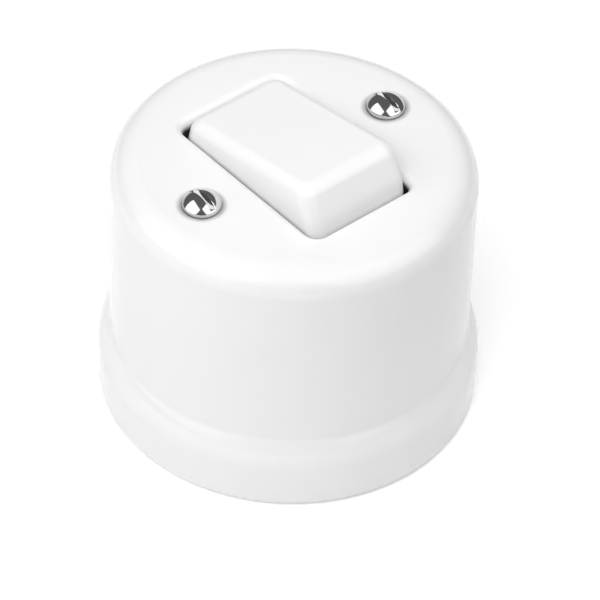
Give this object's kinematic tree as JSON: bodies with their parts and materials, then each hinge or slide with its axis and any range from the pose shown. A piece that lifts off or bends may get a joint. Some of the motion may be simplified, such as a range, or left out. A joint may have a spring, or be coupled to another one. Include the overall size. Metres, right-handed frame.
{
  "type": "porcelain rocker switch",
  "caption": "Surface-mounted porcelain rocker switch: round glazed cover on a rounded flange, tilting white key, slotted cover screws and a working see-saw contact mechanism.",
  "frame": {"origin": "middle of the switch in the wall plane, under the drum's axis", "axes": "+Z out of the wall, X along the rocker's pivot and through both cover screws, +Y towards the pressed end of the rocker"},
  "size_m": [0.07, 0.07, 0.0605],
  "materials": {
    "glazed_porcelain": "clear gloss glaze over white body",
    "white_plastic": "smooth glossy moulding",
    "chrome_plate": "bright nickel or chrome plate",
    "steel": "zinc plated, satin",
    "brass": "bare rolled and turned brass",
    "silver": "silver contact metal",
    "dark_moulding": "dark compression moulding",
    "insulating_board": "laminated insulating board",
    "nylon": "natural moulding"
  },
  "bodies": {
    "housing": {"cover": "glazed_porcelain", "base": "glazed_porcelain", "cover_screws": "chrome_plate", "support_pillars": "brass", "pillar_screws": "steel", "bridge": "steel", "bridge_screws": "steel", "switch_body": "dark_moulding", "bottom_plate": "insulating_board", "plate_screws": "steel", "pivot_pin": "steel", "fixed_rivets": "silver", "terminal_screws": "brass", "clamp_plates": "brass", "line_terminal_left": "brass", "line_terminal_right": "brass", "load_terminal_left": "brass", "load_terminal_right": "brass"},
    "rocker": {"rocker_key": "white_plastic", "rocker_cradle": "nylon", "spring_left": "steel", "spring_right": "steel"},
    "plunger_left": {"plunger_left": "nylon"},
    "plunger_right": {"plunger_right": "nylon"},
    "contact_left": {"moving_contact_left": "brass", "moving_rivet_left": "silver"},
    "contact_right": {"moving_contact_right": "brass", "moving_rivet_right": "silver"}
  },
  "joints": [
    {"name": "rocker_tilt", "type": "hinge", "parent": "housing", "child": "rocker", "pos_m": [0, 0, 0.0485], "axis": [1, 0, 0], "range_deg": [0, 19]},
    {"name": "contact_left_tilt", "type": "hinge", "parent": "housing", "child": "contact_left", "pos_m": [0, 0, 0.03102], "axis": [1, 0, 0], "range_deg": [-19, 0]},
    {"name": "contact_right_tilt", "type": "hinge", "parent": "housing", "child": "contact_right", "pos_m": [0, 0, 0.03102], "axis": [1, 0, 0], "range_deg": [-19, 0]},
    {"name": "plunger_left_slide", "type": "slide", "parent": "rocker", "child": "plunger_left", "axis": [0, 0.165, 0.9863], "range_m": [0, 0.001], "stiffness_N_per_m": 150, "deforming": ["spring_left"]},
    {"name": "plunger_right_slide", "type": "slide", "parent": "rocker", "child": "plunger_right", "axis": [0, 0.165, 0.9863], "range_m": [0, 0.001], "stiffness_N_per_m": 150, "deforming": ["spring_right"]}
  ],
  "couplings": [
    {"joint": "contact_left_tilt", "follows": "rocker_tilt", "ratio": -1},
    {"joint": "contact_right_tilt", "follows": "rocker_tilt", "ratio": -1}
  ]
}
